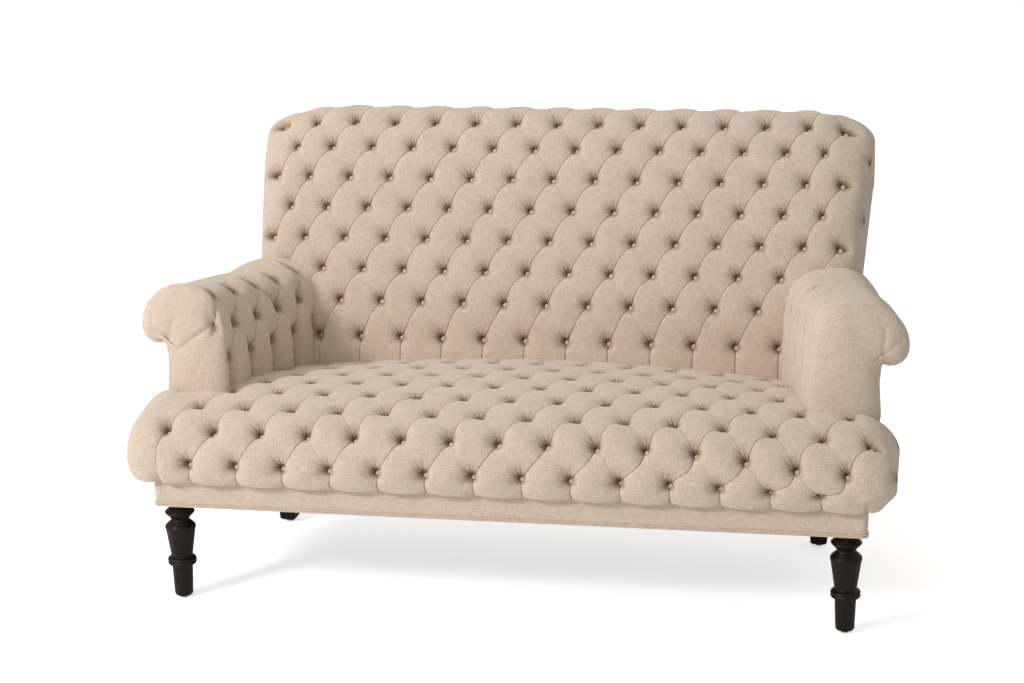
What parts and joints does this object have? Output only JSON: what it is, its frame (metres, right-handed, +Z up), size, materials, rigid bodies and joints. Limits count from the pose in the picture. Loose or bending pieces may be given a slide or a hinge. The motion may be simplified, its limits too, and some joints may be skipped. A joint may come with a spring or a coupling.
{
  "type": "high back settee",
  "caption": "High-backed settee with diamond-buttoned linen seat, back and rolled arms, a scrolled crest, turned black front legs and square rear legs.",
  "frame": {"origin": "on the floor, under the middle of the outline of the settee", "axes": "+X to the right of someone facing the settee, +Y from its front to its back, +Z up"},
  "size_m": [1.848, 1.0788, 1.0755],
  "materials": {
    "linen": "plain woven linen, matte",
    "ebonised_wood": "blackened, satin lacquer",
    "beech": "planed, unfinished",
    "steel": "plain steel wire and bolts",
    "nickel": "plated, worn",
    "hessian": "coarse jute weave",
    "cambric": "thin black dust cloth"
  },
  "bodies": {
    "root": {"front_leg_left": "ebonised_wood", "front_glide_left": "nickel", "front_leg_bolt_left": "steel", "rear_leg_left": "ebonised_wood", "rear_glide_left": "nickel", "rear_leg_bolt_left": "steel", "front_leg_right": "ebonised_wood", "front_glide_right": "nickel", "front_leg_bolt_right": "steel", "rear_leg_right": "ebonised_wood", "rear_glide_right": "nickel", "rear_leg_bolt_right": "steel", "front_rail": "beech", "rear_rail": "beech", "side_rail_left": "beech", "front_corner_block_left": "beech", "rear_corner_block_left": "beech", "seat_stretcher_left": "beech", "side_rail_right": "beech", "front_corner_block_right": "beech", "rear_corner_block_right": "beech", "seat_stretcher_right": "beech", "seat_spring_1": "steel", "seat_spring_2": "steel", "seat_spring_3": "steel", "seat_spring_4": "steel", "seat_spring_5": "steel", "seat_spring_6": "steel", "seat_deck": "hessian", "back_post_left": "beech", "back_slat_left": "beech", "back_post_right": "beech", "back_slat_right": "beech", "back_lower_rail": "beech", "back_top_rail": "beech", "back_hessian": "hessian", "scroll_core": "beech", "arm_post_left": "beech", "arm_top_rail_left": "beech", "arm_tack_rail_left": "beech", "arm_roll_core_left": "beech", "arm_post_right": "beech", "arm_top_rail_right": "beech", "arm_tack_rail_right": "beech", "arm_roll_core_right": "beech", "seat_pad": "linen", "back_pad": "linen", "arm_pad_left": "linen", "arm_pad_right": "linen", "outside_arm_cover_left": "linen", "outside_arm_cover_right": "linen", "outside_back_cover": "linen", "rail_cover": "linen", "bottom_welt": "linen", "dust_cover": "cambric"}
  },
  "joints": []
}
